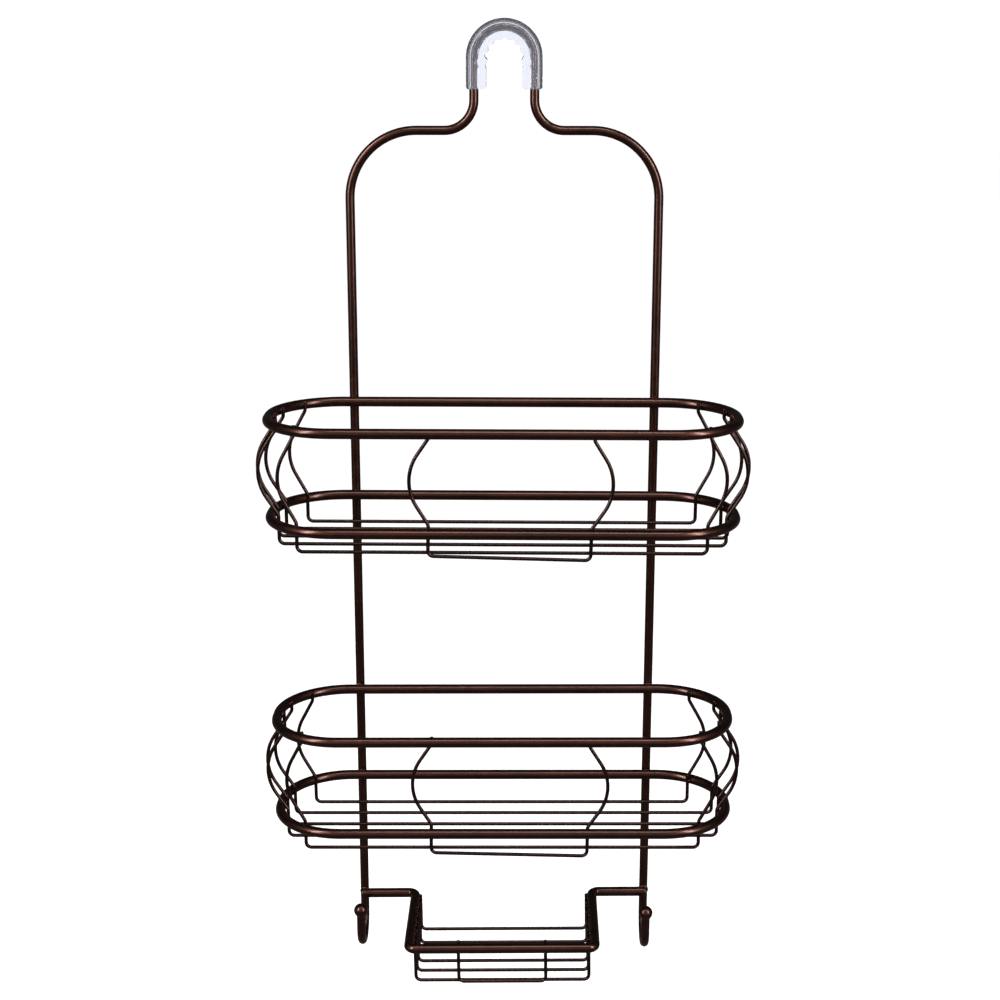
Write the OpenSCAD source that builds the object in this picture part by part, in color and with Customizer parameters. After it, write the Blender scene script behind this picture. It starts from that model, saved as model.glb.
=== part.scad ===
// Over-the-arm shower caddy of bent and welded steel wire.
// One hanger wire hooks over a shower arm and carries two wire baskets, a wire
// soap dish and two hooks. The front is -Y, up is +Z, and the origin is the
// middle of the loop that sits on the shower arm. All sizes are in millimetres.

/* [Wire] */
// Diameter of the one long hanger wire
frame_wire_d = 5.8; // [4:0.1:6.5]
// Diameter of the basket rings and the soap dish rim
ring_wire_d = 6.4; // [5:0.1:7.5]
// Diameter of the cross wires
thin_wire_d = 2.3; // [1.8:0.1:3]
// Depth to which two wires are pressed together at a weld
weld_sink = 0.4; // [0.2:0.1:0.6]

/* [Hanger] */
// Bend radius of the loop over the arm
loop_r = 18.8; // [17.5:0.1:24]
// Straight wire between the loop and each neck bend
neck_run = 25.5; // [23:0.5:40]
// Bend radius where the neck turns out into a shoulder
neck_r = 18.5; // [10:0.5:22]
// Bend radius where a shoulder turns down into a leg
shoulder_r = 42; // [20:1:45]
// Distance between the two legs, centre to centre
leg_spacing = 193.6; // [180:0.2:236]

/* [Hooks] */
// Height of a hook's bend centre below the soap dish rim
hook_drop = 15.5; // [13:0.5:40]
// Bend radius of a hook
hook_r = 15; // [9:0.5:20]
// Straight wire from the hook's bend up to the middle of its ball
hook_tip_run = 13; // [8:0.5:20]
// Diameter of the ball on the end of a hook
ball_d = 9.4; // [8.5:0.1:13]
// Depth of wire inside a ball, past the middle of the ball
ball_seat = 1; // [0:0.2:2]
// Clearance all round the wire inside a ball
ball_fit = 0.05; // [0:0.05:0.2]

/* [Grip] */
// Width of the grip along the arm
grip_w = 8.2; // [7.6:0.1:11]
// Radius of the grip's outer edge beyond the middle of the wire
grip_lip = 5.1; // [4.4:0.1:7]
// Width of the slot through which the wire is pressed in
grip_slot = 3.2; // [2:0.1:3.9]
// Radius across the tips of the teeth
tooth_tip_r = 10.4; // [9:0.1:11.5]
// Depth of the notches between the teeth
tooth_depth = 1.8; // [1:0.1:2.4]
// Angle from one tooth to the next
tooth_pitch = 27.6; // [24:0.2:30]
// Half of the gap between the two plain ends of the grip
grip_gap = 11.1; // [9.5:0.1:12.5]
// Length of the grip's straight ends below the middle of the loop
grip_leg = 19; // [14:0.5:23]
// Radius on the bottom corners of the grip
grip_corner_r = 2; // [1:0.1:2.2]

/* [Baskets] */
// Length of a ring, centre to centre of its wire
ring_len = 290; // [260:1:348]
// Depth of a ring, front to back, centre to centre of its wire
ring_depth = 92; // [80:1:110]
// Bend radius at the four corners of a ring, which is less where the legs need room
ring_corner_r = 43; // [30:0.5:45]
// Height from the bottom ring to the top ring, centre to centre
basket_h = 62; // [52:1:75]
// Height of the upper basket's top ring below the origin
upper_ring_drop = 215; // [150:1:258]
// Height from the upper basket to the lower one
basket_pitch = 196.5; // [160:0.5:236]
// Height of the side wires' floor below the bottom ring
floor_drop = 14.8; // [10:0.1:22]
// Distance from one side wire to the next, front to back
side_wire_pitch = 17.2; // [13:0.1:18]
// Sideways place of the rearmost side wire from the middle of the basket
back_wire_shift = -1.5; // [-3:0.1:3]
// Half of the span of the front wire
front_wire_half = 49.4; // [36:0.2:90]
// Sideways place of the front wire from the middle of the basket
front_wire_shift = 5; // [-8:0.5:8]
// Angle by which the front wire is welded out of upright
front_wire_tilt = 1.3; // [-3:0.1:3]
// Height of the front wire's floor below the bottom ring
front_floor_drop = 16; // [10:0.1:22]
// Height of the front wire's cut ends above the top ring's centre
front_tip_rise = 1; // [0.5:0.1:5]
// Angle at which a cross wire leans outward between its welds
lean_angle = 33; // [15:0.5:45]
// The same angle for the first and the last side wire, at the rings' corners
corner_lean_angle = 28.5; // [15:0.5:45]
// Bend radius at the middle of a cross wire's swell
swell_r = 30; // [15:1:38]
// Height of a side wire's cut ends above the top ring's centre
tip_rise = 2.5; // [1.5:0.1:5]
// Height of ring wire that a cross wire follows before it bends away
weld_run = 2.5; // [2:0.1:5]
// Bend radius where a cross wire bends away from a ring
kink_r = 4; // [2.5:0.1:8]
// Bend radius where a cross wire turns into the floor
floor_corner_r = 3.5; // [2.5:0.1:6]
// Angle by which the lower basket is welded out of level, right side up
lower_tilt = 0.5; // [-1:0.1:1]

/* [Soap dish] */
// Height of the soap dish rim below the lower basket's bottom ring
rim_drop = 88; // [60:0.5:106]
// Half of the dish's width, to the middle of the rim wire
rim_half_w = 60.8; // [50:0.2:76]
// Depth of the dish from the middle of the back bar to that of the front bar
rim_depth = 78; // [62:0.5:94]
// Bend radius at the rim's corners
rim_corner_r = 5; // [4.2:0.1:9]
// Length of the rim's back bars past the middle of each leg
rim_overrun = 1.8; // [0:0.1:2.6]
// Height of the dish's floor wires below the rim
dish_drop = 26; // [16:0.5:31]
// Height of the rearmost floor wire below the rim
back_dish_drop = 22.5; // [16:0.5:31]
// Distance from one dish wire to the next
dish_wire_pitch = 12.4; // [10:0.1:12.8]
// Half of the span of the dish's front wire
dish_front_half = 28.5; // [15:0.5:44]
// Height of a dish wire's cut end above the middle of the rim
dish_tip_rise = 3.6; // [2:0.1:6]
// Angle by which the dish is welded out of level, right side up
dish_tilt = 0.9; // [-2:0.1:2]

/* [Hidden] */
$fn = 48;
eps = 0.5;
pinch = 0.02;

coat = "#3b211c";
vinyl = [0.78, 0.80, 0.90, 0.6];

// Distance between the middles of two wires that are welded side by side
frame_to_ring = (frame_wire_d + ring_wire_d) / 2 - weld_sink;
ring_to_thin = (ring_wire_d + thin_wire_d) / 2 - weld_sink;

leg_x = leg_spacing / 2;
// A ring stays straight until half a ring wire past the legs' middles
corner_r = min(ring_corner_r, (ring_len - leg_spacing - ring_wire_d) / 2);
shoulder_z = -neck_run - neck_r;
upper_top_z = -upper_ring_drop;
upper_bottom_z = upper_top_z - basket_h;
lower_bottom_z = upper_bottom_z - basket_pitch;
rim_z = lower_bottom_z - rim_drop;
hook_z = rim_z - hook_drop;

// The rings and the rim are welded to the fronts of the legs
ring_y = -frame_to_ring - ring_depth / 2;
rim_back_y = -frame_to_ring;
rim_front_y = rim_back_y - rim_depth;
front_wire_y = ring_y - ring_depth / 2 + ring_to_thin;
dish_front_y = rim_front_y + ring_to_thin;

side_wires = 5;
dish_wires = 6;
grip_teeth = 8;
tooth_root_r = tooth_tip_r + tooth_depth;

// A bend of one wire in the XY plane. It starts at the origin towards +X and
// turns to the left for a positive angle, to the right for a negative one.
module bend(d, r, turn) {
    side = sign(turn);
    translate([0, side * r, 0])
        rotate([0, 0, turn > 0 ? -90 : 90 + turn])
            rotate_extrude(angle = abs(turn))
                translate([r, 0])
                    circle(d = d);
}

// A turn that isn't square gets a pinch at each end, a hair wider than the wire,
// so that the straight runs and the bend between them come out as one solid.
function skew(moves, i) = i >= 0 && moves[i][2] % 90 != 0;

module pinch_at(d) {
    rotate([0, 90, 0])
        cylinder(d = d + pinch, h = 4 * pinch, center = true);
}

// A wire made the way a bending machine makes it. Each move is a straight run,
// a roll about the wire, a turn and the radius of that turn.
module bent_wire(d, moves, i = 0) {
    if (i < len(moves)) {
        run = moves[i][0];
        roll = moves[i][1];
        turn = moves[i][2];
        r = sign(turn) * moves[i][3];
        from = skew(moves, i - 1) ? pinch : 0;
        to = skew(moves, i) ? run - pinch : run;
        if (run > 0)
            translate([from, 0, 0])
                rotate([0, 90, 0])
                    cylinder(d = d, h = to - from);
        translate([run, 0, 0])
            rotate([roll, 0, 0]) {
                if (turn != 0)
                    bend(d, abs(r), turn);
                if (skew(moves, i))
                    pinch_at(d);
                translate([0, r, 0])
                    rotate([0, 0, turn])
                        translate([0, -r, 0]) {
                            if (skew(moves, i))
                                pinch_at(d);
                            bent_wire(d, moves, i + 1);
                        }
            }
    }
}

module both_sides() {
    children();
    mirror([1, 0, 0])
        children();
}

// Stands a path drawn in the XY plane up into the XZ plane
module upright() {
    rotate([90, 0, 0])
        children();
}

module hanger_frame() {
    shoulder_run = leg_x - loop_r - neck_r - shoulder_r;
    leg_run = shoulder_z - shoulder_r - hook_z;
    color(coat)
        both_sides()
            translate([0, 0, loop_r])
                upright()
                    bent_wire(frame_wire_d, [
                        [0, 0, -90, loop_r],
                        [neck_run, 0, 90, neck_r],
                        [shoulder_run, 0, -90, shoulder_r],
                        [leg_run, 90, 180, hook_r],
                        [hook_tip_run + ball_seat, 0, 0, 0]]);
}

// Ball pressed and brazed on the end of a hook
module hook_ball(side) {
    color(coat)
        translate([side * leg_x, -2 * hook_r, hook_z + hook_tip_run])
            difference() {
                sphere(d = ball_d);
                translate([0, 0, -ball_d])
                    cylinder(d = frame_wire_d + 2 * ball_fit, h = ball_d + ball_seat);
            }
}

module hook_ball_left() {
    hook_ball(-1);
}

module hook_ball_right() {
    hook_ball(1);
}

// Section of the grip: radius along X, width along Y
module grip_section() {
    difference() {
        intersection() {
            union() {
                translate([loop_r, 0])
                    circle(r = grip_lip);
                translate([tooth_tip_r - eps, -grip_w / 2])
                    square([loop_r - tooth_tip_r + eps, grip_w]);
            }
            translate([0, -grip_w / 2])
                square([loop_r + 2 * grip_lip, grip_w]);
        }
        translate([loop_r, 0])
            circle(d = frame_wire_d);
        translate([loop_r, -grip_slot / 2])
            square([2 * grip_lip, grip_slot]);
    }
}

// Outline of the space for the arm, with a notch on each side of every tooth
module arm_space() {
    first = 90 - tooth_pitch * grip_teeth / 2;
    plain_z = tooth_root_r * sin(first) - tooth_depth;
    teeth = [for (i = [0 : 2 * grip_teeth])
        let (a = first + i * tooth_pitch / 2, r = i % 2 == 0 ? tooth_root_r : tooth_tip_r)
            [r * cos(a), r * sin(a)]];
    polygon(concat(
        [[grip_gap, -2 * grip_leg], [grip_gap, plain_z]],
        teeth,
        [[-grip_gap, plain_z], [-grip_gap, -2 * grip_leg]]));
}

// What is cut off a square corner at the origin to round it
module corner_cut(r) {
    difference() {
        translate([-eps, -eps])
            square(r + eps);
        translate([r, r])
            circle(r = r);
    }
}

module arm_grip() {
    color(vinyl)
        difference() {
            union() {
                upright()
                    rotate_extrude(angle = 180)
                        grip_section();
                both_sides()
                    translate([0, 0, -grip_leg])
                        linear_extrude(grip_leg)
                            grip_section();
            }
            upright()
                linear_extrude(2 * grip_w, center = true) {
                    arm_space();
                    both_sides() {
                        translate([grip_gap, -grip_leg])
                            corner_cut(grip_corner_r);
                        translate([loop_r + grip_lip, -grip_leg])
                            mirror([1, 0])
                                corner_cut(grip_corner_r);
                    }
                }
        }
}

// The baskets' places on the legs. What is drawn in them has the bottom ring at
// height 0.
module in_upper() {
    translate([0, 0, upper_bottom_z])
        children();
}

module in_lower() {
    translate([0, 0, lower_bottom_z])
        rotate([0, -lower_tilt, 0])
            children();
}

// A closed ring with its butt weld in the middle of the back bar
module ring(z) {
    long_run = ring_len / 2 - corner_r;
    short_run = ring_depth - 2 * corner_r;
    color(coat)
        translate([0, ring_y + ring_depth / 2, z])
            bent_wire(ring_wire_d, [
                [long_run, 0, -90, corner_r],
                [short_run, 0, -90, corner_r],
                [2 * long_run, 0, -90, corner_r],
                [short_run, 0, -90, corner_r],
                [long_run, 0, 0, 0]]);
}

// Distance from the middle of a ring to a wire welded inside its rounded end
function side_wire_x(y) =
    let (r = corner_r - ring_to_thin, off = max(0, abs(y) - ring_depth / 2 + corner_r))
        ring_len / 2 - corner_r + sqrt(r * r - off * off);

// A cross wire in its own upright plane: floor, corner, first weld, swell, second
// weld and cut end, on both sides. Its first welds are at height 0, x from its middle.
module cross_wire(x, drop, lean, rise) {
    half_swell = basket_h / 2 - weld_run;
    lean_run = (half_swell - (kink_r + swell_r) * sin(lean)) / cos(lean);
    color(coat)
        both_sides()
            translate([0, 0, -drop])
                upright()
                    bent_wire(thin_wire_d, [
                        [x - floor_corner_r, 0, 90, floor_corner_r],
                        [drop - floor_corner_r + weld_run, 0, -lean, kink_r],
                        [lean_run, 0, 2 * lean, swell_r],
                        [lean_run, 0, -lean, kink_r],
                        [weld_run + rise, 0, 0, 0]]);
}

// Side wires are counted from the back of the basket, evenly about its middle
module side_wire(i) {
    y = ((side_wires + 1) / 2 - i) * side_wire_pitch;
    lean = i == 1 || i == side_wires ? corner_lean_angle : lean_angle;
    shift = i == 1 ? back_wire_shift : 0;
    translate([shift, ring_y + y, 0])
        cross_wire(side_wire_x(y), floor_drop, lean, tip_rise);
}

module front_wire() {
    translate([front_wire_shift, front_wire_y, 0])
        rotate([0, front_wire_tilt, 0])
            cross_wire(front_wire_half, front_floor_drop, lean_angle, front_tip_rise);
}

module upper_top_ring() {
    in_upper()
        ring(basket_h);
}

module upper_bottom_ring() {
    in_upper()
        ring(0);
}

module upper_side_wire_1() {
    in_upper()
        side_wire(1);
}

module upper_side_wire_2() {
    in_upper()
        side_wire(2);
}

module upper_side_wire_3() {
    in_upper()
        side_wire(3);
}

module upper_side_wire_4() {
    in_upper()
        side_wire(4);
}

module upper_side_wire_5() {
    in_upper()
        side_wire(5);
}

module upper_front_wire() {
    in_upper()
        front_wire();
}

module lower_top_ring() {
    in_lower()
        ring(basket_h);
}

module lower_bottom_ring() {
    in_lower()
        ring(0);
}

module lower_side_wire_1() {
    in_lower()
        side_wire(1);
}

module lower_side_wire_2() {
    in_lower()
        side_wire(2);
}

module lower_side_wire_3() {
    in_lower()
        side_wire(3);
}

module lower_side_wire_4() {
    in_lower()
        side_wire(4);
}

module lower_side_wire_5() {
    in_lower()
        side_wire(5);
}

module lower_front_wire() {
    in_lower()
        front_wire();
}

// The dish's place on the legs. What is drawn in it has the rim at height 0.
module on_dish() {
    translate([0, 0, rim_z])
        rotate([0, -dish_tilt, 0])
            children();
}

// The rim runs in from one leg, forward, across the front, back and out again
module soap_rim() {
    back_run = leg_x + rim_overrun - rim_half_w - rim_corner_r;
    side_run = rim_depth - 2 * rim_corner_r;
    front_run = 2 * (rim_half_w - rim_corner_r);
    color(coat)
        on_dish()
            translate([-leg_x - rim_overrun, rim_back_y, 0])
                bent_wire(ring_wire_d, [
                    [back_run, 0, -90, rim_corner_r],
                    [side_run, 0, 90, rim_corner_r],
                    [front_run, 0, 90, rim_corner_r],
                    [side_run, 0, -90, rim_corner_r],
                    [back_run, 0, 0, 0]]);
}

// A U-shaped wire that hangs inside the rim
module dish_wire(x, y, drop) {
    color(coat)
        on_dish()
            both_sides()
                translate([0, y, -drop])
                    upright()
                        bent_wire(thin_wire_d, [
                            [x - floor_corner_r, 0, 90, floor_corner_r],
                            [drop - floor_corner_r + dish_tip_rise, 0, 0, 0]]);
}

// Dish wires are counted from the back. The last one lies against the front wire.
module soap_wire(i) {
    last_y = dish_front_y + thin_wire_d - weld_sink;
    y = last_y + (dish_wires - i) * dish_wire_pitch;
    dish_wire(rim_half_w - ring_to_thin, y, i == 1 ? back_dish_drop : dish_drop);
}

module soap_wire_1() {
    soap_wire(1);
}

module soap_wire_2() {
    soap_wire(2);
}

module soap_wire_3() {
    soap_wire(3);
}

module soap_wire_4() {
    soap_wire(4);
}

module soap_wire_5() {
    soap_wire(5);
}

module soap_wire_6() {
    soap_wire(6);
}

module soap_front_wire() {
    dish_wire(dish_front_half, dish_front_y, dish_drop);
}

hanger_frame();
arm_grip();
hook_ball_left();
hook_ball_right();
upper_top_ring();
upper_bottom_ring();
upper_side_wire_1();
upper_side_wire_2();
upper_side_wire_3();
upper_side_wire_4();
upper_side_wire_5();
upper_front_wire();
lower_top_ring();
lower_bottom_ring();
lower_side_wire_1();
lower_side_wire_2();
lower_side_wire_3();
lower_side_wire_4();
lower_side_wire_5();
lower_front_wire();
soap_rim();
soap_wire_1();
soap_wire_2();
soap_wire_3();
soap_wire_4();
soap_wire_5();
soap_wire_6();
soap_front_wire();
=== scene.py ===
"""Looks of the over-the-arm wire shower caddy: coated wires, welds, ball tips and the clear grip."""

import math

import bmesh
import bpy
from mathutils import Matrix, Vector


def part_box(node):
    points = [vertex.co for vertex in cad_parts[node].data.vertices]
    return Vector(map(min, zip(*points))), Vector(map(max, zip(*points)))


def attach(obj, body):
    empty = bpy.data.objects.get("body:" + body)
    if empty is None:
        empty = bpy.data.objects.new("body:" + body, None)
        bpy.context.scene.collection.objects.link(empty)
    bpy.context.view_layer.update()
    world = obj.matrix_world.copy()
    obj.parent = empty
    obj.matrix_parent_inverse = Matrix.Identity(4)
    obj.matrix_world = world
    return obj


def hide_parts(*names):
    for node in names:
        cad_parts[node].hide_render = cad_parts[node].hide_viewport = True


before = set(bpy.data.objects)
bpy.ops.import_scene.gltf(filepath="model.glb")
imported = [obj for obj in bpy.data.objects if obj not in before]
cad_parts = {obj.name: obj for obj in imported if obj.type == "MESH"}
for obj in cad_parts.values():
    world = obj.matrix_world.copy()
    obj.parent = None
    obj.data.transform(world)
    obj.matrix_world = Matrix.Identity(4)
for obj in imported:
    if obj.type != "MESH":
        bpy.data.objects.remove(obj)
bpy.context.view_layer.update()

MM = 0.001
BODY = "root"

# Bends and fits of the wires, as the part is built, in metres
NECK_RUN = 25.5 * MM
NECK_R = 18.5 * MM
SHOULDER_R = 42.0 * MM
RING_HALF_L = 145.0 * MM
RING_HALF_D = 46.0 * MM
RING_CORNER_R = 43.0 * MM
BASKET_H = 62.0 * MM
FLOOR_DROP = 14.8 * MM
LOWER_TILT = 0.5
LEAN_ANGLE = 33.0
CORNER_LEAN_ANGLE = 28.5
BACK_WIRE_SHIFT = -1.5 * MM
FRONT_WIRE_HALF = 49.4 * MM
FRONT_WIRE_SHIFT = 5.0 * MM
FRONT_WIRE_TILT = 1.3
FRONT_FLOOR_DROP = 16.0 * MM
TIP_RISE = 2.5 * MM
FRONT_TIP_RISE = 1.0 * MM
SWELL_R = 30.0 * MM
KINK_R = 4.0 * MM
FLOOR_CORNER_R = 3.5 * MM
WELD_RUN = 2.5 * MM
RIM_CORNER_R = 5.0 * MM
RIM_HALF_W = 60.8 * MM
RIM_OVERRUN = 1.8 * MM
DISH_DROP = 26.0 * MM
BACK_DISH_DROP = 22.5 * MM
DISH_TIP_RISE = 3.6 * MM
DISH_FRONT_HALF = 28.5 * MM
DISH_TILT = 0.9
WELD_SINK = 0.4 * MM
HOOK_TIP_RUN = 13.0 * MM
BALL_SEAT = 1.0 * MM

# The grip's section and teeth
GRIP_LIP = 5.1 * MM
GRIP_SLOT = 3.2 * MM
TOOTH_TIP_R = 10.4 * MM
TOOTH_DEPTH = 1.8 * MM
TOOTH_PITCH = 27.6
TEETH = 8
GRIP_GAP = 11.1 * MM
GRIP_CORNER_R = 2.0 * MM
BORE_ROOM = 0.04 * MM

ARC_STEP = 3.0
STRAIGHT_STEP = 12.0 * MM

# The studio, in metres, watts and radians
FLOOR_HALF = 12.0
FLOOR_DEPTH = 0.95
SURROUND_LIGHT = 1.08
LENS_MM = 65.08
SENSOR_MM = 36.0
CAMERA_PLACE = (0.0184, -1.1432, 0.0282)
CAMERA_DIP = 0.2647
CAMERA_TURN = 0.0184


def settle(value):
    """A size read off a solid's facets, to the nearest twentieth of a millimetre."""
    return round(value / (0.05 * MM)) * 0.05 * MM


def linear(hex_colour, alpha=1.0):
    """An sRGB hex colour as the linear colour that a shader takes."""
    channels = [int(hex_colour.lstrip("#")[i:i + 2], 16) / 255 for i in (0, 2, 4)]
    return [c / 12.92 if c <= 0.04045 else ((c + 0.055) / 1.055) ** 2.4 for c in channels] + [alpha]


# ---------------------------------------------------------------- node helper

def add(tree, kind, settings=None, links=None, place=(0, 0)):
    """Adds a node. Settings are its properties, or values for its inputs by name or number;
    links join its inputs to other nodes' outputs."""
    node = tree.nodes.new(kind)
    node.location = place
    for key, value in (settings or {}).items():
        if isinstance(key, str) and hasattr(node, key):
            setattr(node, key, value)
        else:
            node.inputs[key].default_value = value
    for key, source in (links or {}).items():
        tree.links.new(source, node.inputs[key])
    return node


# ------------------------------------------------------------------ materials

def new_material(name):
    material = bpy.data.materials.new(name)
    material.use_nodes = True
    tree = material.node_tree
    tree.nodes.clear()
    return material, tree


def rubbed_bronze_coat(name, deep, warm, worn, roughness):
    """Oil-rubbed bronze electro-coat on steel wire: a dark reddish-brown metallic film under a thin
    clear lacquer. The eye sees satin copper highlights, a slow colour drift along the wire, faint
    lengthwise draw lines, a little orange peel, and a few paler rubbed specks."""
    material, tree = new_material(name)
    where = add(tree, "ShaderNodeTexCoord", place=(-1400, 0)).outputs["Object"]
    # Slow drift of the film's colour over about 40 mm
    drift = add(tree, "ShaderNodeTexNoise", {"Scale": 25.0, "Detail": 3.0, "Roughness": 0.55},
                {"Vector": where}, (-1150, 250)).outputs["Fac"]
    # Uneven pickling and rubbing, patches about 5 mm across
    patches = add(tree, "ShaderNodeTexNoise", {"Scale": 210.0, "Detail": 4.0, "Roughness": 0.6},
                  {"Vector": where}, (-1150, 0)).outputs["Fac"]
    # Orange peel about 1.2 mm across, a coarse stand-in for the film's true grain
    peel = add(tree, "ShaderNodeTexNoise", {"Scale": 850.0, "Detail": 2.0, "Roughness": 0.5},
               {"Vector": where}, (-1150, -250)).outputs["Fac"]
    # Lengthwise draw lines, read round the wire from the sweep's own attribute
    round_wire = add(tree, "ShaderNodeAttribute", {"attribute_name": "round_wire"},
                     place=(-1400, -500)).outputs["Vector"]
    lines = add(tree, "ShaderNodeTexNoise", {"Scale": 26.0, "Detail": 2.0, "Roughness": 0.7},
                {"Vector": round_wire}, (-1150, -500)).outputs["Fac"]
    tone = add(tree, "ShaderNodeMix", {"data_type": "FLOAT", 0: 0.25}, {2: drift, 3: patches},
               (-900, 150)).outputs[0]
    film = add(tree, "ShaderNodeValToRGB", links={"Fac": tone}, place=(-700, 150))
    ramp = film.color_ramp
    ramp.elements[0].position, ramp.elements[0].color = 0.25, linear(deep)
    ramp.elements[1].position, ramp.elements[1].color = 0.78, linear(warm)
    # Rubbed specks where both noises are high
    rubbed = add(tree, "ShaderNodeMath", {"operation": "MULTIPLY"}, {0: patches, 1: peel},
                 (-900, -100)).outputs[0]
    speck = add(tree, "ShaderNodeMapRange", {"From Min": 0.36, "From Max": 0.46, "To Max": 0.35},
                {"Value": rubbed}, (-700, -100)).outputs[0]
    colour = add(tree, "ShaderNodeMix", {"data_type": "RGBA", 7: linear(worn)},
                 {0: speck, 6: film.outputs["Color"]}, (-450, 150)).outputs[2]
    rough = add(tree, "ShaderNodeMapRange",
                {"From Min": 0.3, "From Max": 0.7, "To Min": roughness - 0.03, "To Max": roughness + 0.05},
                {"Value": patches}, (-450, -100)).outputs[0]
    relief = add(tree, "ShaderNodeMix", {"data_type": "FLOAT", 0: 0.35}, {2: peel, 3: lines},
                 (-700, -400)).outputs[0]
    bump = add(tree, "ShaderNodeBump", {"Strength": 0.07, "Distance": 0.00004},
               {"Height": relief}, (-450, -400)).outputs["Normal"]
    shader = add(tree, "ShaderNodeBsdfPrincipled",
                 {"Metallic": 1.0, "Coat Weight": 0.55, "Coat Roughness": 0.22},
                 {"Base Color": colour, "Roughness": rough, "Normal": bump}, (-200, 0))
    add(tree, "ShaderNodeOutputMaterial", links={"Surface": shader.outputs["BSDF"]}, place=(100, 0))
    return material


def clear_soft_vinyl(name):
    """Plasticised clear PVC, injection moulded: slightly milky and cool, so that the wire inside
    shows dimly, with a soft sheen, faint flow marks and fingerprint-dull patches."""
    material, tree = new_material(name)
    where = add(tree, "ShaderNodeTexCoord", place=(-1100, 0)).outputs["Object"]
    # Flow marks about 3 mm apart
    flow = add(tree, "ShaderNodeTexNoise", {"Scale": 330.0, "Detail": 3.0, "Distortion": 1.2},
               {"Vector": where}, (-850, 150)).outputs["Fac"]
    # Dull patches about 8 mm across
    dull = add(tree, "ShaderNodeTexNoise", {"Scale": 125.0, "Detail": 4.0},
               {"Vector": where}, (-850, -150)).outputs["Fac"]
    tint = add(tree, "ShaderNodeMix",
               {"data_type": "RGBA", 6: linear("#e4e6f3"), 7: linear("#eceef8")},
               {0: flow}, (-550, 200)).outputs[2]
    rough = add(tree, "ShaderNodeMapRange",
                {"From Min": 0.3, "From Max": 0.7, "To Min": 0.03, "To Max": 0.09},
                {"Value": dull}, (-550, -50)).outputs[0]
    bump = add(tree, "ShaderNodeBump", {"Strength": 0.12, "Distance": 0.00008},
               {"Height": flow}, (-550, -300)).outputs["Normal"]
    shader = add(tree, "ShaderNodeBsdfPrincipled",
                 {"IOR": 1.53, "Transmission Weight": 0.95},
                 {"Base Color": tint, "Roughness": rough, "Normal": bump}, (-250, 0))
    add(tree, "ShaderNodeOutputMaterial", links={"Surface": shader.outputs["BSDF"]}, place=(50, 0))
    return material


HEAVY_COAT = rubbed_bronze_coat("rubbed_bronze_on_heavy_wire", "#33190f", "#532d22", "#76503f", 0.3)
# Painted shade: the thin wires get a darker copy of the same bronze coat, painted darker to stand in for the
# shade they show
THIN_COAT_PAINTED_DARKER = rubbed_bronze_coat("rubbed_bronze_on_thin_wire_painted_darker", "#28120d", "#41231b", "#61402f", 0.28)
VINYL = clear_soft_vinyl("clear_soft_vinyl")


# ------------------------------------------------------------- wires and welds

def wire_path(start, heading, side, moves):
    """Points down the middle of a bent wire. Each move is a straight run, a roll about the wire,
    a turn and its bend radius; a positive turn goes towards side."""
    at, ahead, left = Vector(start), Vector(heading).normalized(), Vector(side).normalized()
    points = [at.copy()]
    for run, roll, turn, radius in moves:
        steps = max(1, math.ceil(run / STRAIGHT_STEP))
        if run > 0:
            points += [at + ahead * run * k / steps for k in range(1, steps + 1)]
            at = points[-1].copy()
        left = Matrix.Rotation(math.radians(roll), 3, ahead) @ left
        if turn:
            inward = left if turn > 0 else -left
            centre = at + inward * radius
            axis = ahead.cross(inward)
            steps = max(4, math.ceil(abs(turn) / ARC_STEP))
            for k in range(1, steps + 1):
                spun = Matrix.Rotation(math.radians(abs(turn)) * k / steps, 3, axis)
                points.append(centre + spun @ (at - centre))
            full = Matrix.Rotation(math.radians(abs(turn)), 3, axis)
            ahead, left, at = full @ ahead, full @ left, points[-1].copy()
    return points


def both_halves(half):
    """A path that starts on the middle plane, with its mirror image before it."""
    return [Vector((-p.x, p.y, p.z)) for p in reversed(half[1:])] + half


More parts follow.
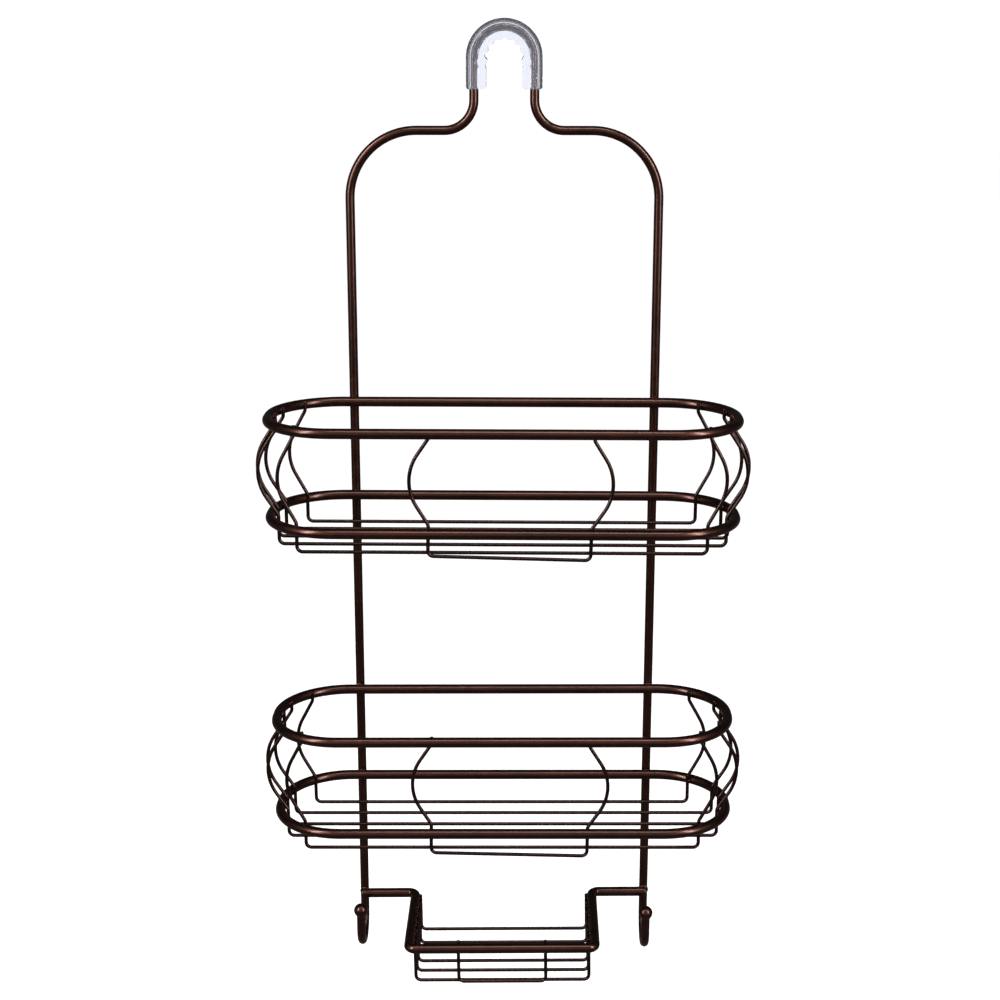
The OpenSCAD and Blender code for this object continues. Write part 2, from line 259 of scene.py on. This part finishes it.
def wire_tree():
    """Sweeps a round section down a path, with cut ends eased by the path's own radius."""
    tree = bpy.data.node_groups.new("swept_wire", "GeometryNodeTree")
    face = tree.interface
    face.new_socket("Geometry", in_out="INPUT", socket_type="NodeSocketGeometry")
    face.new_socket("Wire radius", in_out="INPUT", socket_type="NodeSocketFloat")
    face.new_socket("Sides", in_out="INPUT", socket_type="NodeSocketInt")
    face.new_socket("Coat", in_out="INPUT", socket_type="NodeSocketMaterial")
    face.new_socket("Geometry", in_out="OUTPUT", socket_type="NodeSocketGeometry")
    given = add(tree, "NodeGroupInput", place=(-900, 0)).outputs
    section = add(tree, "GeometryNodeCurvePrimitiveCircle",
                  links={"Resolution": given["Sides"], "Radius": given["Wire radius"]}, place=(-650, -200))
    share = add(tree, "GeometryNodeSplineParameter", place=(-650, -400)).outputs["Factor"]
    turned = add(tree, "ShaderNodeMath", {"operation": "MULTIPLY", 1: math.tau}, {0: share}, (-500, -400))
    across = add(tree, "ShaderNodeMath", {"operation": "COSINE"}, {0: turned.outputs[0]}, (-350, -350))
    up = add(tree, "ShaderNodeMath", {"operation": "SINE"}, {0: turned.outputs[0]}, (-350, -500))
    ring = add(tree, "ShaderNodeCombineXYZ", links={"X": across.outputs[0], "Y": up.outputs[0]},
               place=(-200, -400))
    marked = add(tree, "GeometryNodeStoreNamedAttribute",
                 {"data_type": "FLOAT_VECTOR", "Name": "round_wire"},
                 {"Geometry": section.outputs["Curve"], "Value": ring.outputs[0]}, (-50, -250))
    eased = add(tree, "GeometryNodeInputRadius", place=(-50, 150)).outputs[0]
    swept = add(tree, "GeometryNodeCurveToMesh", {"Fill Caps": True},
                {"Curve": given["Geometry"], "Profile Curve": marked.outputs[0], "Scale": eased},
                (150, 0)).outputs[0]
    smooth = add(tree, "GeometryNodeSetShadeSmooth", links={"Geometry": swept}, place=(330, 0)).outputs[0]
    real = add(tree, "GeometryNodeRealizeInstances", links={"Geometry": smooth}, place=(500, 0)).outputs[0]
    coated = add(tree, "GeometryNodeSetMaterial", links={"Geometry": real, "Material": given["Coat"]},
                 place=(680, 0)).outputs[0]
    add(tree, "NodeGroupOutput", links={"Geometry": coated}, place=(860, 0))
    return tree


def weld_tree():
    """Sets a small drop of melted steel and coat at each weld, each a little different."""
    tree = bpy.data.node_groups.new("weld_drops", "GeometryNodeTree")
    face = tree.interface
    face.new_socket("Geometry", in_out="INPUT", socket_type="NodeSocketGeometry")
    face.new_socket("Spread", in_out="INPUT", socket_type="NodeSocketFloat")
    face.new_socket("Seed", in_out="INPUT", socket_type="NodeSocketInt")
    face.new_socket("Coat", in_out="INPUT", socket_type="NodeSocketMaterial")
    face.new_socket("Geometry", in_out="OUTPUT", socket_type="NodeSocketGeometry")
    given = add(tree, "NodeGroupInput", place=(-700, 0)).outputs
    drop = add(tree, "GeometryNodeMeshUVSphere", {"Segments": 20, "Rings": 12, "Radius": 1.0},
               place=(-500, -200)).outputs["Mesh"]
    along, facing, size = [
        add(tree, "GeometryNodeInputNamedAttribute", {"data_type": "FLOAT_VECTOR", "Name": name},
            place=(-700, -250 - 150 * k)).outputs[0]
        for k, name in enumerate(("along", "facing", "size"))]
    turned = add(tree, "FunctionNodeAxesToRotation", {"primary_axis": "X", "secondary_axis": "Z"},
                 {"Primary Axis": along, "Secondary Axis": facing}, (-400, -400)).outputs[0]
    least = add(tree, "ShaderNodeMath", {"operation": "SUBTRACT", 0: 1.0}, {1: given["Spread"]},
                (-500, -600)).outputs[0]
    most = add(tree, "ShaderNodeMath", {"operation": "ADD", 0: 1.0}, {1: given["Spread"]},
               (-500, -750)).outputs[0]
    chance = add(tree, "FunctionNodeRandomValue", {"data_type": "FLOAT"},
                 {2: least, 3: most, "Seed": given["Seed"]}, (-300, -650)).outputs[1]
    scaled = add(tree, "ShaderNodeVectorMath", {"operation": "SCALE"}, {0: size, "Scale": chance},
                 (-100, -500)).outputs[0]
    drops = add(tree, "GeometryNodeInstanceOnPoints",
                links={"Points": given["Geometry"], "Instance": drop, "Rotation": turned, "Scale": scaled},
                place=(100, 0)).outputs[0]
    real = add(tree, "GeometryNodeRealizeInstances", links={"Geometry": drops}, place=(280, 0)).outputs[0]
    smooth = add(tree, "GeometryNodeSetShadeSmooth", links={"Geometry": real}, place=(450, 0)).outputs[0]
    coated = add(tree, "GeometryNodeSetMaterial", links={"Geometry": smooth, "Material": given["Coat"]},
                 place=(620, 0)).outputs[0]
    add(tree, "NodeGroupOutput", links={"Geometry": coated}, place=(800, 0))
    return tree


def grown(source, tree, values, name):
    """Runs a tree on an object and keeps the result as a plain mesh object."""
    grower = source.modifiers.new(tree.name, "NODES")
    grower.node_group = tree
    for item in tree.interface.items_tree:
        if item.in_out == "INPUT" and item.name in values:
            grower[item.identifier] = values[item.name]
    bpy.context.scene.collection.objects.link(source)
    graph = bpy.context.evaluated_depsgraph_get()
    mesh = bpy.data.meshes.new_from_object(source.evaluated_get(graph))
    source.modifiers.remove(grower)
    bpy.data.objects.remove(source)
    mesh.name = name
    piece = bpy.data.objects.new(name, mesh)
    bpy.context.scene.collection.objects.link(piece)
    return piece


def eased_ends(points, radius):
    """Extra points and radii that take the sharp edge off both cut ends of a wire."""
    ease = 0.3 * radius
    shares = (1.0, 0.45, 0.12, 0.0)
    sizes = (1.0, 0.97, 0.86, 0.66)
    first = (points[1] - points[0]).normalized()
    last = (points[-2] - points[-1]).normalized()
    head = [(points[0] + first * ease * s, r) for s, r in zip(shares, sizes)][::-1]
    tail = [(points[-1] + last * ease * s, r) for s, r in zip(shares, sizes)]
    return head + [(p, 1.0) for p in points[1:-1]] + tail


SWEPT_WIRE = wire_tree()
WELD_DROPS = weld_tree()


def make_wire(node, points, radius, coat, closed=False):
    """A coated wire that stands for one CAD wire."""
    stations = [(p, 1.0) for p in points] if closed else eased_ends(points, radius)
    curve = bpy.data.curves.new(node + "_path", "CURVE")
    curve.dimensions = "3D"
    curve.twist_mode = "MINIMUM"
    spline = curve.splines.new("POLY")
    spline.points.add(len(stations) - 1)
    for point, (place, size) in zip(spline.points, stations):
        point.co = (*place, 1.0)
        point.radius = size
    spline.use_cyclic_u = closed
    sides = 40 if radius > 2 * MM else 24
    piece = grown(bpy.data.objects.new(node + "_path", curve), SWEPT_WIRE,
                  {"Wire radius": radius, "Sides": sides, "Coat": coat}, "coated_" + node)
    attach(piece, BODY)
    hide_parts(node)
    return piece


def make_welds(name, welds, coat, seed):
    """The drops at a list of welds: place, direction along, direction facing and half sizes."""
    mesh = bpy.data.meshes.new(name + "_points")
    mesh.from_pydata([w[0] for w in welds], [], [])
    for key, column in (("along", 1), ("facing", 2), ("size", 3)):
        layer = mesh.attributes.new(key, "FLOAT_VECTOR", "POINT")
        layer.data.foreach_set("vector", [c for w in welds for c in w[column]])
    piece = grown(bpy.data.objects.new(name + "_points", mesh), WELD_DROPS,
                  {"Spread": 0.12, "Seed": seed, "Coat": coat}, name)
    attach(piece, BODY)
    return piece


# ------------------------------------------------------------- sizes off the CAD

hanger_low, hanger_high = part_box("hanger_frame")
FRAME_R = settle(hanger_high.y)
LOOP_R = settle(hanger_high.z - FRAME_R)
LEG_X = settle(hanger_high.x - FRAME_R)
HOOK_R = settle((-hanger_low.y - FRAME_R) / 2)
HOOK_Z = settle(hanger_low.z + FRAME_R + HOOK_R)
SHOULDER_Z = -NECK_RUN - NECK_R

THIN_R = settle((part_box("upper_side_wire_3")[1].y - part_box("upper_side_wire_3")[0].y) / 2)
RING_R = settle((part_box("upper_top_ring")[1].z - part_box("upper_top_ring")[0].z) / 2)
RING_TO_THIN = RING_R + THIN_R - WELD_SINK
RIM_BACK_Y = -(FRAME_R + RING_R - WELD_SINK)


def across(node):
    """Where a flat wire's own plane lies, front to back."""
    low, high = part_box(node)
    return settle((low.y + high.y) / 2)


def tilted(angle, about):
    """Turns a place about the Y direction, in degrees, and sets it down at a point."""
    spin = Matrix.Rotation(math.radians(angle), 3, "Y")
    return lambda place: about + spin @ Vector(place)


def weld_at(place, along, facing, sizes):
    return (Vector(place), Vector(along), Vector(facing), [s * MM for s in sizes])


# ------------------------------------------------------------------- hanger

shoulder_run = LEG_X - LOOP_R - NECK_R - SHOULDER_R
leg_run = SHOULDER_Z - SHOULDER_R - HOOK_Z
hanger_half = wire_path((0, 0, LOOP_R), (1, 0, 0), (0, 0, 1), [
    (0, 0, -90, LOOP_R),
    (NECK_RUN, 0, 90, NECK_R),
    (shoulder_run, 0, -90, SHOULDER_R),
    (leg_run, 90, 180, HOOK_R),
    (HOOK_TIP_RUN + BALL_SEAT, 0, 0, 0)])
make_wire("hanger_frame", both_halves(hanger_half), FRAME_R, HEAVY_COAT)


def make_ball(node):
    """A solid ball turned and brazed on the hook's end, with a soft fillet round the wire."""
    low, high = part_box(node)
    middle = (low + high) / 2
    ball_r = settle((high.x - low.x) / 2)
    neck_z = -math.sqrt(ball_r ** 2 - FRAME_R ** 2)
    profile = [(FRAME_R * 0.98, neck_z - 1.1 * MM), (FRAME_R + 0.05 * MM, neck_z - 0.8 * MM),
               (FRAME_R + 0.3 * MM, neck_z - 0.25 * MM)]
    start = math.atan2(neck_z + 0.25 * MM, FRAME_R + 0.55 * MM)
    steps = 30
    for k in range(steps):
        a = start + (math.pi / 2 - start) * k / steps
        profile.append((ball_r * math.cos(a), ball_r * math.sin(a)))
    sides = 48
    shape = bmesh.new()
    rows = [[shape.verts.new((middle.x + r * math.cos(math.tau * j / sides),
                              middle.y + r * math.sin(math.tau * j / sides),
                              middle.z + z)) for j in range(sides)] for r, z in profile]
    for below, above in zip(rows, rows[1:]):
        for j in range(sides):
            n = (j + 1) % sides
            shape.faces.new((below[j], below[n], above[n], above[j]))
    crown = shape.verts.new((middle.x, middle.y, middle.z + ball_r))
    for j in range(sides):
        shape.faces.new((rows[-1][j], rows[-1][(j + 1) % sides], crown))
    shape.faces.new(list(reversed(rows[0])))
    for f in shape.faces:
        f.smooth = True
    mesh = bpy.data.meshes.new("brazed_" + node)
    shape.to_mesh(mesh)
    shape.free()
    mesh.materials.append(HEAVY_COAT)
    piece = bpy.data.objects.new("brazed_" + node, mesh)
    bpy.context.scene.collection.objects.link(piece)
    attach(piece, BODY)
    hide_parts(node)


for ball_node in ("hook_ball_left", "hook_ball_right"):
    make_ball(ball_node)


# ---------------------------------------------------------------------- grip

def grip_inner(angle):
    """Distance from the loop's middle to the toothed edge, at an angle from +X."""
    first = 90 - TOOTH_PITCH * TEETH / 2
    half = TOOTH_PITCH / 2
    place = (angle - first) / half
    k = math.floor(place)
    ends = []
    for i in (k, k + 1):
        r = TOOTH_TIP_R if i % 2 else TOOTH_TIP_R + TOOTH_DEPTH
        a = math.radians(first + i * half)
        ends.append((r * math.cos(a), r * math.sin(a)))
    (x0, z0), (x1, z1) = ends
    a = math.radians(angle)
    dx, dz = x1 - x0, z1 - z0
    return (x0 * dz - z0 * dx) / (math.cos(a) * dz - math.sin(a) * dx)


def grip_inner_eased(angle):
    """The same, with tips and roots rounded as soft vinyl is."""
    spread = (-1.6, -0.8, 0.0, 0.8, 1.6)
    return sum(grip_inner(angle + s) for s in spread) / len(spread)


def leg_inner(z):
    """Half gap between the grip's straight ends, at a height below the loop's middle."""
    root, tip = TOOTH_TIP_R + TOOTH_DEPTH, TOOTH_TIP_R
    first = math.radians(90 - TOOTH_PITCH * TEETH / 2)
    second = first + math.radians(TOOTH_PITCH / 2)
    x_root, z_root = root * math.cos(first), root * math.sin(first)
    x_tip, z_tip = tip * math.cos(second), tip * math.sin(second)
    z_plain = z_root - TOOTH_DEPTH
    x_zero = grip_inner_eased(0)
    knots = [(z_plain, GRIP_GAP), (z_root, x_root), (z_tip, x_tip), (0.0, x_zero)]
    if z <= knots[0][0]:
        return GRIP_GAP
    for (za, xa), (zb, xb) in zip(knots, knots[1:]):
        if z <= zb:
            return xa + (xb - xa) * (z - za) / (zb - za)
    return x_zero


def corner(rise, radius):
    """How far a rounded corner pulls in at a height above the end."""
    if rise >= radius:
        return 0.0
    return radius - math.sqrt(radius ** 2 - (radius - rise) ** 2)


def grip_section(inner, outer, half_w):
    """The section's outline as (outward from the wire, along the arm) pairs. The bore is a hair
    wider than the wire, which real stretched vinyl isn't, so that light edges show beside the wire."""
    edge = 0.5 * MM
    bore = FRAME_R + BORE_ROOM
    lip_from = math.asin(min(1.0, half_w / GRIP_LIP))
    lip_to = math.asin(GRIP_SLOT / 2 / GRIP_LIP)
    bore_from = math.asin(GRIP_SLOT / 2 / bore)
    upper = []
    for k in range(5):
        a = math.radians(22.5 * k)
        upper.append((inner + edge * (1 - math.cos(a)), half_w - edge * (1 - math.sin(a))))
    # Two points just inside the flat side's ends keep its shading flat
    upper.append((inner + edge + 0.25 * MM, half_w))
    upper.append((GRIP_LIP * math.cos(lip_from) - 0.25 * MM, half_w))
    for k in range(10):
        a = lip_from + (lip_to - lip_from) * k / 9
        upper.append((min(GRIP_LIP * math.cos(a), outer), GRIP_LIP * math.sin(a)))
    for k in range(15):
        a = bore_from + (math.pi - bore_from) * k / 14
        upper.append((bore * math.cos(a), bore * math.sin(a)))
    lower = [(u, -y) for u, y in reversed(upper[:-1])]
    return upper + lower


def make_grip(node):
    """The moulded grip: its section swept over the loop, with the inner edge cut into teeth."""
    low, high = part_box(node)
    half_w = settle((high.y - low.y) / 2)
    leg = settle(-low.z)
    stations = []
    rises = [0.0, 0.15, 0.4, 0.8, 1.3, 1.8, 2.4, 4.0, 6.0, 8.0, 10.0, 12.0, 12.9, 13.4, 13.9, 14.4,
             14.9, 15.4, 16.0, 16.6, 17.2, 17.8, 18.2, 18.6]
    for rise in rises:
        z = -leg + rise * MM
        pull = corner(rise * MM, GRIP_CORNER_R)
        inner = leg_inner(z) + pull - LOOP_R
        stations.append((Vector((LOOP_R, 0, z)), Vector((1, 0, 0)), inner, GRIP_LIP - pull))
    count = 240
    arc = []
    for k in range(count + 1):
        angle = 180 * k / count
        a = math.radians(angle)
        out = Vector((math.cos(a), 0, math.sin(a)))
        arc.append((out * LOOP_R, out, grip_inner_eased(angle) - LOOP_R, GRIP_LIP))
    other = [(Vector((-p.x, 0, p.z)), Vector((-1, 0, 0)), i, o) for p, _, i, o in reversed(stations)]
    shape = bmesh.new()
    rows = []
    for place, out, inner, outer in stations + arc + other:
        rows.append([shape.verts.new(place + out * u + Vector((0, y, 0)))
                     for u, y in grip_section(inner, outer, half_w)])
    around = len(rows[0])
    for before, after in zip(rows, rows[1:]):
        for j in range(around):
            n = (j + 1) % around
            shape.faces.new((before[j], before[n], after[n], after[j]))
    shape.faces.new(rows[0])
    shape.faces.new(list(reversed(rows[-1])))
    bmesh.ops.recalc_face_normals(shape, faces=shape.faces)
    bmesh.ops.triangulate(shape, faces=[f for f in shape.faces if len(f.verts) > 4])
    mesh = bpy.data.meshes.new("moulded_" + node)
    shape.to_mesh(mesh)
    shape.free()
    mesh.materials.append(VINYL)
    piece = bpy.data.objects.new("moulded_" + node, mesh)
    bpy.context.scene.collection.objects.link(piece)
    mesh.shade_smooth()
    mesh.set_sharp_from_angle(angle=math.radians(38))
    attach(piece, BODY)
    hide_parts(node)


make_grip("arm_grip")


# -------------------------------------------------------------------- baskets

def make_ring(node, stand, height, y):
    """A closed ring, butt-welded in the middle of its back bar."""
    long_run, short_run = RING_HALF_L - RING_CORNER_R, 2 * (RING_HALF_D - RING_CORNER_R)
    turn = (0, -90, RING_CORNER_R)
    points = wire_path((0, y + RING_HALF_D, height), (1, 0, 0), (0, 1, 0), [
        (long_run, *turn), (short_run, *turn), (2 * long_run, *turn), (short_run, *turn),
        (long_run, 0, 0, 0)])
    make_wire(node, [stand(p) for p in points[:-1]], RING_R, HEAVY_COAT, closed=True)


def cross_wire_line(x, drop, lean_angle, rise):
    """A basket's cross wire about its middle, with its first welds at height 0: floor, corner,
    weld, swell, weld and cut end, on both sides."""
    lean = math.radians(lean_angle)
    lean_run = (BASKET_H / 2 - WELD_RUN - (KINK_R + SWELL_R) * math.sin(lean)) / math.cos(lean)
    return both_halves(wire_path((0, 0, -drop), (1, 0, 0), (0, 0, 1), [
        (x - FLOOR_CORNER_R, 0, 90, FLOOR_CORNER_R),
        (drop - FLOOR_CORNER_R + WELD_RUN, 0, -lean_angle, KINK_R),
        (lean_run, 0, 2 * lean_angle, SWELL_R),
        (lean_run, 0, -lean_angle, KINK_R),
        (WELD_RUN + rise, 0, 0, 0)]))


def make_basket(name, tilt, seed):
    """Two rings, five side wires, a front wire and all their welds. They are set out with the
    bottom ring's middle at height 0, and then set down on the legs."""
    low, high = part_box(name + "_bottom_ring")
    stand = tilted(-tilt, Vector((0, 0, settle((low.z + high.z) / 2))))
    ring_y = across(name + "_bottom_ring")
    make_ring(name + "_bottom_ring", stand, 0.0, ring_y)
    make_ring(name + "_top_ring", stand, BASKET_H, ring_y)
    upward = stand((0, 0, 1)) - stand((0, 0, 0))
    welds = []
    inside = RING_CORNER_R - RING_TO_THIN
    for i in range(1, 6):
        node = name + "_side_wire_%d" % i
        y = across(node)
        # How far the wire lies past the middle of the ring's corner bend, front or back
        past = y - ring_y
        past -= math.copysign(min(abs(past), RING_HALF_D - RING_CORNER_R), past)
        reach = math.sqrt(inside ** 2 - past ** 2)
        x = RING_HALF_L - RING_CORNER_R + reach
        shift = BACK_WIRE_SHIFT if i == 1 else 0.0
        lean_angle = CORNER_LEAN_ANGLE if i in (1, 5) else LEAN_ANGLE
        line = cross_wire_line(x, FLOOR_DROP, lean_angle, TIP_RISE)
        make_wire(node, [stand(p + Vector((shift, y, 0))) for p in line], THIN_R, THIN_COAT_PAINTED_DARKER)
        for side in (-1, 1):
            out = Vector((side * reach, past, 0)).normalized()
            for level in (0.0, BASKET_H):
                place = Vector((shift + side * x, y, level)) + out * (THIN_R - WELD_SINK / 2)
                welds.append(weld_at(stand(place), upward, out, (2.1, 1.45, 0.75)))
    node = name + "_front_wire"
    y = across(node)
    lean_over = tilted(FRONT_WIRE_TILT, Vector((FRONT_WIRE_SHIFT, y, 0)))
    line = cross_wire_line(FRONT_WIRE_HALF, FRONT_FLOOR_DROP, LEAN_ANGLE, FRONT_TIP_RISE)
    make_wire(node, [stand(lean_over(p)) for p in line], THIN_R, THIN_COAT_PAINTED_DARKER)
    slope = math.tan(math.radians(FRONT_WIRE_TILT))
    for side in (-1, 1):
        for level in (0.0, BASKET_H):
            place = lean_over((side * FRONT_WIRE_HALF, 0, level + side * FRONT_WIRE_HALF * slope))
            place += Vector((0, -THIN_R + WELD_SINK / 2, 0))
            welds.append(weld_at(stand(place), upward, (0, -1, 0), (2.1, 1.45, 0.75)))
    for level in (0.0, BASKET_H):
        for side in (-1, 1):
            place = stand((side * LEG_X, -FRAME_R + WELD_SINK / 2, level))
            welds.append(weld_at(place, (1, 0, 0), (0, 1, 0), (3.1, 3.1, 1.05)))
        # The upset bead of the ring's own butt weld
        place = stand((0, RIM_BACK_Y, level))
        welds.append(weld_at(place, (1, 0, 0), (0, 1, 0), (0.9, 3.32, 3.32)))
    make_welds(name + "_basket_welds", welds, HEAVY_COAT, seed)


make_basket("upper", 0.0, 11)
make_basket("lower", LOWER_TILT, 23)


# ------------------------------------------------------------------ soap dish

def make_soap_dish():
    """The bent rim, its six hanging wires, the short front wire and their welds. They are set out
    with the rim's middle at the origin, and then tilted onto the legs."""
    low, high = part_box("soap_rim")
    z_rim = settle((low.z + high.z) / 2)
    reach = LEG_X + RIM_OVERRUN
    y_front = settle(low.y + RING_R)
    side_run = RIM_BACK_Y - y_front - 2 * RIM_CORNER_R
    back_run = reach - RIM_HALF_W - RIM_CORNER_R
    stand = tilted(-DISH_TILT, Vector((0, 0, z_rim)))
    points = wire_path((-reach, RIM_BACK_Y, 0), (1, 0, 0), (0, 1, 0), [
        (back_run, 0, -90, RIM_CORNER_R),
        (side_run, 0, 90, RIM_CORNER_R),
        (2 * (RIM_HALF_W - RIM_CORNER_R), 0, 90, RIM_CORNER_R),
        (side_run, 0, -90, RIM_CORNER_R),
        (back_run, 0, 0, 0)])
    make_wire("soap_rim", [stand(p) for p in points], RING_R, HEAVY_COAT)
    welds = []
    for node in ["soap_wire_%d" % i for i in range(1, 7)] + ["soap_front_wire"]:
        y = across(node)
        x = DISH_FRONT_HALF if "front" in node else RIM_HALF_W - RING_TO_THIN
        drop = BACK_DISH_DROP if node == "soap_wire_1" else DISH_DROP
        half = wire_path((0, y, -drop), (1, 0, 0), (0, 0, 1), [
            (x - FLOOR_CORNER_R, 0, 90, FLOOR_CORNER_R),
            (drop - FLOOR_CORNER_R + DISH_TIP_RISE, 0, 0, 0)])
        make_wire(node, [stand(p) for p in both_halves(half)], THIN_R, THIN_COAT_PAINTED_DARKER)
        for side in (-1, 1):
            out = Vector((0, -1, 0)) if "front" in node else Vector((side, 0, 0))
            place = stand(Vector((side * x, y, 0)) + out * (THIN_R - WELD_SINK / 2))
            welds.append(weld_at(place, (0, 0, 1), out, (2.0, 1.4, 0.75)))
    for side in (-1, 1):
        place = stand((side * LEG_X, -FRAME_R + WELD_SINK / 2, 0))
        welds.append(weld_at(place, (1, 0, 0), (0, 1, 0), (3.0, 3.0, 1.05)))
    make_welds("soap_dish_welds", welds, HEAVY_COAT, 37)


make_soap_dish()


# ------------------------------------------------------- floor, light, camera

def studio():
    """A pale floor, a bright plain surround and soft lights. Rays mirrored in the coat see the floor painted
    dark, a painted dark reflection, and find a dim surround, which gives round wires their dark edges."""
    scene = bpy.context.scene
    scene.view_settings.view_transform = "Standard"
    size, drop = FLOOR_HALF, FLOOR_DEPTH
    mesh = bpy.data.meshes.new("pale_floor")
    mesh.from_pydata([(-size, -size, -drop), (size, -size, -drop), (size, size, -drop), (-size, size, -drop)],
                     [], [(0, 1, 2, 3)])
    floor = bpy.data.objects.new("pale_floor", mesh)
    scene.collection.objects.link(floor)
    material, tree = new_material("matt_white_floor_painted_dark_for_mirrors")
    where = add(tree, "ShaderNodeTexCoord", place=(-700, 0)).outputs["Object"]
    grain = add(tree, "ShaderNodeTexNoise", {"Scale": 3.0}, {"Vector": where}, (-500, 0)).outputs["Fac"]
    tone = add(tree, "ShaderNodeMix", {"data_type": "RGBA", 6: linear("#fbfbfb"), 7: linear("#ffffff")},
               {0: grain}, (-300, 0)).outputs[2]
    # Painted shade: rays mirrored off the wires see the floor painted dark brown-grey (#453c3a), a painted
    # dark reflection in place of the white floor
    glossy = add(tree, "ShaderNodeLightPath", place=(-500, 300)).outputs["Is Glossy Ray"]
    white_floor_with_painted_dark_reflection = add(tree, "ShaderNodeMix", {"data_type": "RGBA", 7: linear("#453c3a")},
                {0: glossy, 6: tone}, (-250, 150)).outputs[2]
    shader = add(tree, "ShaderNodeBsdfPrincipled", {"Roughness": 0.9}, {"Base Color": white_floor_with_painted_dark_reflection}, (-50, 0))
    add(tree, "ShaderNodeOutputMaterial", links={"Surface": shader.outputs["BSDF"]}, place=(200, 0))
    mesh.materials.append(material)

    # A bright surround. It is dimmer for mirrored rays, and for rays that come through the vinyl
    # and go on towards the room in front.
    world = bpy.data.worlds.new("studio_surround")
    scene.world = world
    world.use_nodes = True
    sky = world.node_tree
    sky.nodes.clear()
    ray = add(sky, "ShaderNodeLightPath", place=(-1000, 200)).outputs
    way = add(sky, "ShaderNodeTexCoord", place=(-1000, -200)).outputs["Generated"]
    parts = add(sky, "ShaderNodeSeparateXYZ", links={0: way}, place=(-820, -200)).outputs
    toward_room = add(sky, "ShaderNodeMath", {"operation": "LESS_THAN", 1: 0.0}, {0: parts["Y"]},
                      (-650, -200)).outputs[0]
    room = add(sky, "ShaderNodeMapRange", {"From Min": -1.0, "From Max": 0.3, "To Min": 0.5, "To Max": 0.02},
               {"Value": parts["Y"]}, (-650, -400)).outputs[0]
    through = add(sky, "ShaderNodeMath", {"operation": "MULTIPLY"},
                  {0: toward_room, 1: ray["Is Transmission Ray"]}, (-480, -100)).outputs[0]
    mirrored = add(sky, "ShaderNodeMath", {"operation": "MULTIPLY"},
                   {0: ray["Is Glossy Ray"], 1: ray["Is Reflection Ray"]}, (-480, 100)).outputs[0]
    dim = add(sky, "ShaderNodeMath", {"operation": "MAXIMUM"}, {0: through, 1: mirrored},
              (-320, 50)).outputs[0]
    strength = add(sky, "ShaderNodeMix", {"data_type": "FLOAT", 2: SURROUND_LIGHT}, {0: dim, 3: room},
                   (-160, 50)).outputs[0]
    light = add(sky, "ShaderNodeBackground", {"Color": linear("#ffffff")}, {"Strength": strength}, (20, 0))
    add(sky, "ShaderNodeOutputWorld", links={"Surface": light.outputs[0]}, place=(200, 0))

    aim = Vector((0, -0.05, -0.3))
    lamps = [("overhead_softbox", (0.1, -0.75, 1.15), 0.9, 0.3, 7.0),
             ("left_strip", (-1.05, -0.95, 0.35), 0.22, 1.3, 20.0),
             ("right_strip", (1.05, -0.9, 0.3), 0.2, 1.3, 17.0)]
    for name, place, wide, tall, power in lamps:
        lamp = bpy.data.lights.new(name, "AREA")
        lamp.shape, lamp.size, lamp.size_y, lamp.energy = "RECTANGLE", wide, tall, power
        holder = bpy.data.objects.new(name, lamp)
        holder.location = place
        holder.rotation_mode = "QUATERNION"
        holder.rotation_quaternion = (aim - Vector(place)).to_track_quat("-Z", "Y")
        scene.collection.objects.link(holder)

    lens = bpy.data.cameras.new("camera")
    lens.lens, lens.sensor_width = LENS_MM, SENSOR_MM
    lens.clip_start, lens.clip_end = 0.01, 60.0
    camera = bpy.data.objects.new("camera", lens)
    camera.location = CAMERA_PLACE
    camera.rotation_euler = (math.pi / 2 - CAMERA_DIP, 0.0, CAMERA_TURN)
    scene.collection.objects.link(camera)
    scene.camera = camera


studio()
